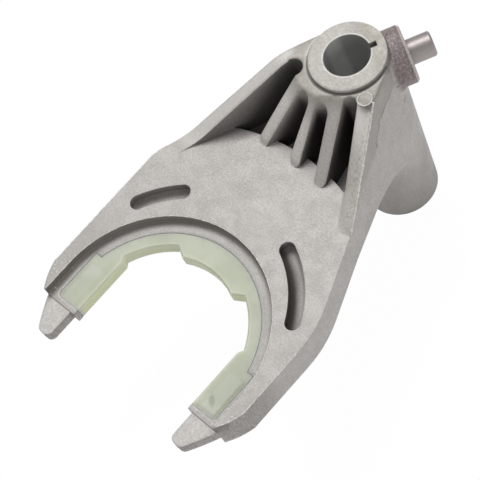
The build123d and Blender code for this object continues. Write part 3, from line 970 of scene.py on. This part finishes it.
# %% [markdown]
# ## Bead on the plate's right edge
# Each arm's outer edge bows in to its end on a large radius. The arc goes through two
# known points, so its middle lies square to the line between them, at the height of the
# triangle that the radius and half that line make.

# %% Right edge bead
end_half_width, arm_end, bow_radius = 41.5, -119.1, 27.0
bead_start = (half_width, -84.0)
bow_start = np.array([half_width, straight_end])
bow_end = np.array([end_half_width, arm_end])
chord = bow_end - bow_start
half_chord = np.linalg.norm(chord) / 2
inward = np.array([chord[1], -chord[0]]) / (2 * half_chord)
bow_depth = math.sqrt(bow_radius ** 2 - half_chord ** 2)
bow_centre = bow_start + chord / 2 + inward * bow_depth
(first_x, first_y), (last_x, last_y) = bow_start - bow_centre, bow_end - bow_centre
first, last = math.atan2(first_y, first_x), math.atan2(last_y, last_x)
right_side = np.vstack([
    run(bead_start, bow_start, 34)[:-1],
    arc(bow_centre, bow_radius, first, last, 16),
])
bead("right_edge_bead", at_height(right_side - (sunk, 0.0), edge_height), thickness=0.38)

# %% [markdown]
# ## Bead round the jaw's recess
# The recess's rim is a broken edge too, and very thin. Its path is the jaw's half circle
# with a straight run down each arm.

# %% Recess rim bead
rim_radius, rim_end, rim_sunk = 41.15, arm_end + 0.4, 0.06
rim = np.vstack([
    run((rim_radius, rim_end), (rim_radius, jaw_y), 16)[:-1],
    arc((0.0, jaw_y), rim_radius, 0.0, math.pi, 150),
    run((-rim_radius, jaw_y), (-rim_radius, rim_end), 16)[1:],
])
bead("recess_rim_bead", at_height(rim, plate_face - rim_sunk), thickness=0.3)

# %% [markdown]
# ## Rim of the ejector pad
# The round pad by the hub is where a pin pushed the casting out of its die, and the pin
# left a raised rim. It is the same tube on a closed circle.

# %% Pad rim
pad_centre, pad_radius, pad_height = (15.2, -8.7), 2.5, 28.86
pad_circle = arc(pad_centre, pad_radius, 0, 2 * math.pi, 41)[:-1]
bead("pad_rim", at_height(pad_circle, pad_height), thickness=0.45, sides=6, closed=True)

# %% [markdown]
# ## Floor
# A catalogue photograph has a white sweep. More light would whiten it, but would also
# bleach the metal. So the paper shows white to the camera and to reflections, and keeps
# part of its own shading so that the fork's shadow stays faintly visible.

# %% Floor
floor_height = cad_box[0][2]
floor_half = 1.5
paper_tone, paper_glow, glow_share = (0.8, 0.8, 0.8, 1), 1.025, 0.95
signs = ((-1, -1), (1, -1), (1, 1), (-1, 1))
corners = [(floor_half * a, floor_half * b, floor_height) for a, b in signs]
sweep = bpy.data.meshes.new("floor")
sweep.from_pydata(corners, [], [(0, 1, 2, 3)])
floor = bpy.data.objects.new("floor", sweep)
scene.collection.objects.link(floor)

paper = bpy.data.materials.new("floor_paper")
paper.use_nodes = True
tree = paper.node_tree
tree.nodes.clear()
matte = tree.nodes.new("ShaderNodeBsdfDiffuse")
matte.inputs["Color"].default_value = paper_tone
white = tree.nodes.new("ShaderNodeEmission")
white.inputs["Strength"].default_value = paper_glow
ray = tree.nodes.new("ShaderNodeLightPath")
seen = ray.outputs["Is Camera Ray"]
for other in ("Is Glossy Ray", "Is Transmission Ray"):
    either = tree.nodes.new("ShaderNodeMath")
    either.operation = "MAXIMUM"
    tree.links.new(seen, either.inputs[0])
    tree.links.new(ray.outputs[other], either.inputs[1])
    seen = either.outputs[0]
share = tree.nodes.new("ShaderNodeMath")
share.operation = "MULTIPLY"
share.inputs[1].default_value = glow_share
tree.links.new(seen, share.inputs[0])
mixed = tree.nodes.new("ShaderNodeMixShader")
out = tree.nodes.new("ShaderNodeOutputMaterial")
tree.links.new(share.outputs[0], mixed.inputs[0])
tree.links.new(matte.outputs[0], mixed.inputs[1])
tree.links.new(white.outputs[0], mixed.inputs[2])
tree.links.new(mixed.outputs[0], out.inputs["Surface"])
floor.data.materials.append(paper)
print("floor", 2 * floor_half, "m across, at z", round(floor_height, 4), "m")

# %% [markdown]
# ## Light
# Large soft lamps show a casting's form without hard glints: the key lamp stands over the
# hub, a weaker one lights the side, and an even white world fills the rest at a level at
# which a colour comes out about as it is written.

# %% Light
world = bpy.data.worlds.new("studio")
scene.world = world
world.use_nodes = True
background = world.node_tree.nodes["Background"]
background.inputs["Color"].default_value = (1, 1, 1, 1)
fill_strength = 0.30
background.inputs["Strength"].default_value = fill_strength
middle = Vector((0, -0.06, 0))


def lamp(name, place, size, power):
    """A square area lamp at `place` that faces the fork's middle."""
    data = bpy.data.lights.new(name, "AREA")
    data.size = size
    data.energy = power
    light = bpy.data.objects.new(name, data)
    scene.collection.objects.link(light)
    light.location = place
    light.rotation_mode = "QUATERNION"
    light.rotation_quaternion = (middle - Vector(place)).to_track_quat("-Z", "Y")
    print(name, "lamp,", power, "W over", size, "m")


lamp("key", (-0.35, 0.22, 0.95), size=0.5, power=5.9)
lamp("side", (0.75, -0.05, 0.25), size=0.4, power=1.0)

scene.view_settings.view_transform = "Standard"
